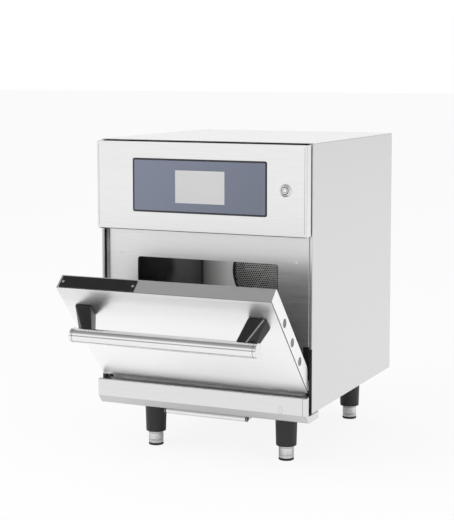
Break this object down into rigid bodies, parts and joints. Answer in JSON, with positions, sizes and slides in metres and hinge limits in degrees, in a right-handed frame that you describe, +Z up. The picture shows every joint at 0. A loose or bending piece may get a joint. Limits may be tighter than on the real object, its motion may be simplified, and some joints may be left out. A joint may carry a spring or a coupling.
{
  "type": "speed oven",
  "caption": "Countertop speed oven on adjustable legs: drop-down door with bar handle, touch fascia, hot-air and microwave cavity, pull-out crumb tray and air filter.",
  "frame": {"origin": "on the worktop, under the middle of the whole outline with the door as far open as it rests", "axes": "+Z up, +Y towards the back of the oven, +X to the right as seen from the front"},
  "size_m": [0.455, 0.6934, 0.634],
  "materials": {
    "casing_steel": "fine brushed stainless steel",
    "frame_steel": "horizontally brushed stainless steel",
    "cavity_steel": "plain mill-finish stainless steel",
    "inner_steel": "galvanised or plain sheet steel",
    "handle_steel": "satin-polished tube",
    "polished_steel": "turned and polished",
    "black_plastic": "satin moulded",
    "motor_black": "black-painted motor casing",
    "plate_black": "black-coated plate, left blank",
    "screen_glass": "polished, dark backed, black border",
    "circuit_board": "lacquered",
    "stoneware": "fired ceramic, matte",
    "mineral_wool": "pressed wool",
    "heater_steel": "heat-darkened tube",
    "fin_aluminium": "plain",
    "core_iron": "varnished laminations and winding",
    "silicone": "moulded seal",
    "foot_rubber": "moulded"
  },
  "bodies": {
    "cabinet": {"base_plate": "inner_steel", "right_side_panel": "casing_steel", "left_side_panel": "casing_steel", "top_cover": "casing_steel", "rear_panel": "casing_steel", "front_frame": "frame_steel", "control_panel": "casing_steel", "touch_glass": "screen_glass", "display_module": "black_plastic", "control_board": "circuit_board", "power_button_bezel": "polished_steel", "cavity_box": "cavity_steel", "fan_grille": "cavity_steel", "cook_plate": "stoneware", "insulation_wrap": "mineral_wool", "air_chamber": "inner_steel", "fan_motor": "motor_black", "air_heater": "heater_steel", "waveguide": "inner_steel", "magnetron": "fin_aluminium", "power_transformer": "core_iron", "capacitor": "fin_aluminium", "cooling_fan_frame": "black_plastic", "cable_gland": "black_plastic", "hinge_right": "inner_steel", "hinge_left": "inner_steel", "door_switch_right": "black_plastic", "door_switch_left": "black_plastic", "tray_rail_right": "inner_steel", "tray_rail_left": "inner_steel", "filter_rail_right": "inner_steel", "filter_rail_left": "inner_steel", "leg_front_left": "black_plastic", "leg_front_right": "black_plastic", "leg_rear_left": "black_plastic", "leg_rear_right": "black_plastic"},
    "door": {"door_skin": "casing_steel", "door_body": "casing_steel", "door_choke": "cavity_steel", "door_gasket": "silicone", "handle_bar": "handle_steel", "handle_bracket_right": "black_plastic", "handle_bracket_left": "black_plastic", "door_plate": "plate_black", "hinge_arm_right": "inner_steel", "hinge_arm_left": "inner_steel"},
    "button": {"power_button": "polished_steel"},
    "hot_air_rotor": {"circulation_fan": "inner_steel"},
    "cooling_rotor": {"cooling_fan_rotor": "black_plastic"},
    "crumb_tray": {"drip_tray": "casing_steel"},
    "filter": {"air_filter": "frame_steel"},
    "foot_front_left": {"leg_adjuster_front_left": "polished_steel", "foot_pad_front_left": "foot_rubber"},
    "foot_front_right": {"leg_adjuster_front_right": "polished_steel", "foot_pad_front_right": "foot_rubber"},
    "foot_rear_left": {"leg_adjuster_rear_left": "polished_steel", "foot_pad_rear_left": "foot_rubber"},
    "foot_rear_right": {"leg_adjuster_rear_right": "polished_steel", "foot_pad_rear_right": "foot_rubber"}
  },
  "joints": [
    {"name": "door_hinge", "type": "hinge", "parent": "cabinet", "child": "door", "pos_m": [0, -0.14561, 0.185], "axis": [1, 0, 0], "range_deg": [-42, 36]},
    {"name": "button_press", "type": "slide", "parent": "cabinet", "child": "button", "axis": [0, 1, 0], "range_m": [0, 0.002], "stiffness_N_per_m": 400, "springref_m": -0.002},
    {"name": "hot_air_spin", "type": "hinge", "parent": "cabinet", "child": "hot_air_rotor", "pos_m": [0, 0.193, 0.336], "axis": [0, 1, 0], "continuous": true},
    {"name": "cooling_spin", "type": "hinge", "parent": "cabinet", "child": "cooling_rotor", "pos_m": [0.112, 0.313, 0.552], "axis": [0, 1, 0], "continuous": true},
    {"name": "tray_pull", "type": "slide", "parent": "cabinet", "child": "crumb_tray", "axis": [0, -1, 0], "range_m": [0, 0.07]},
    {"name": "filter_pull", "type": "slide", "parent": "cabinet", "child": "filter", "axis": [0, -1, 0], "range_m": [0, 0.22]},
    {"name": "foot_screw_front_left", "type": "slide", "parent": "cabinet", "child": "foot_front_left", "axis": [0, 0, -1], "range_m": [0, 0.02]},
    {"name": "foot_screw_front_right", "type": "slide", "parent": "cabinet", "child": "foot_front_right", "axis": [0, 0, -1], "range_m": [0, 0.02]},
    {"name": "foot_screw_rear_left", "type": "slide", "parent": "cabinet", "child": "foot_rear_left", "axis": [0, 0, -1], "range_m": [0, 0.02]},
    {"name": "foot_screw_rear_right", "type": "slide", "parent": "cabinet", "child": "foot_rear_right", "axis": [0, 0, -1], "range_m": [0, 0.02]}
  ]
}
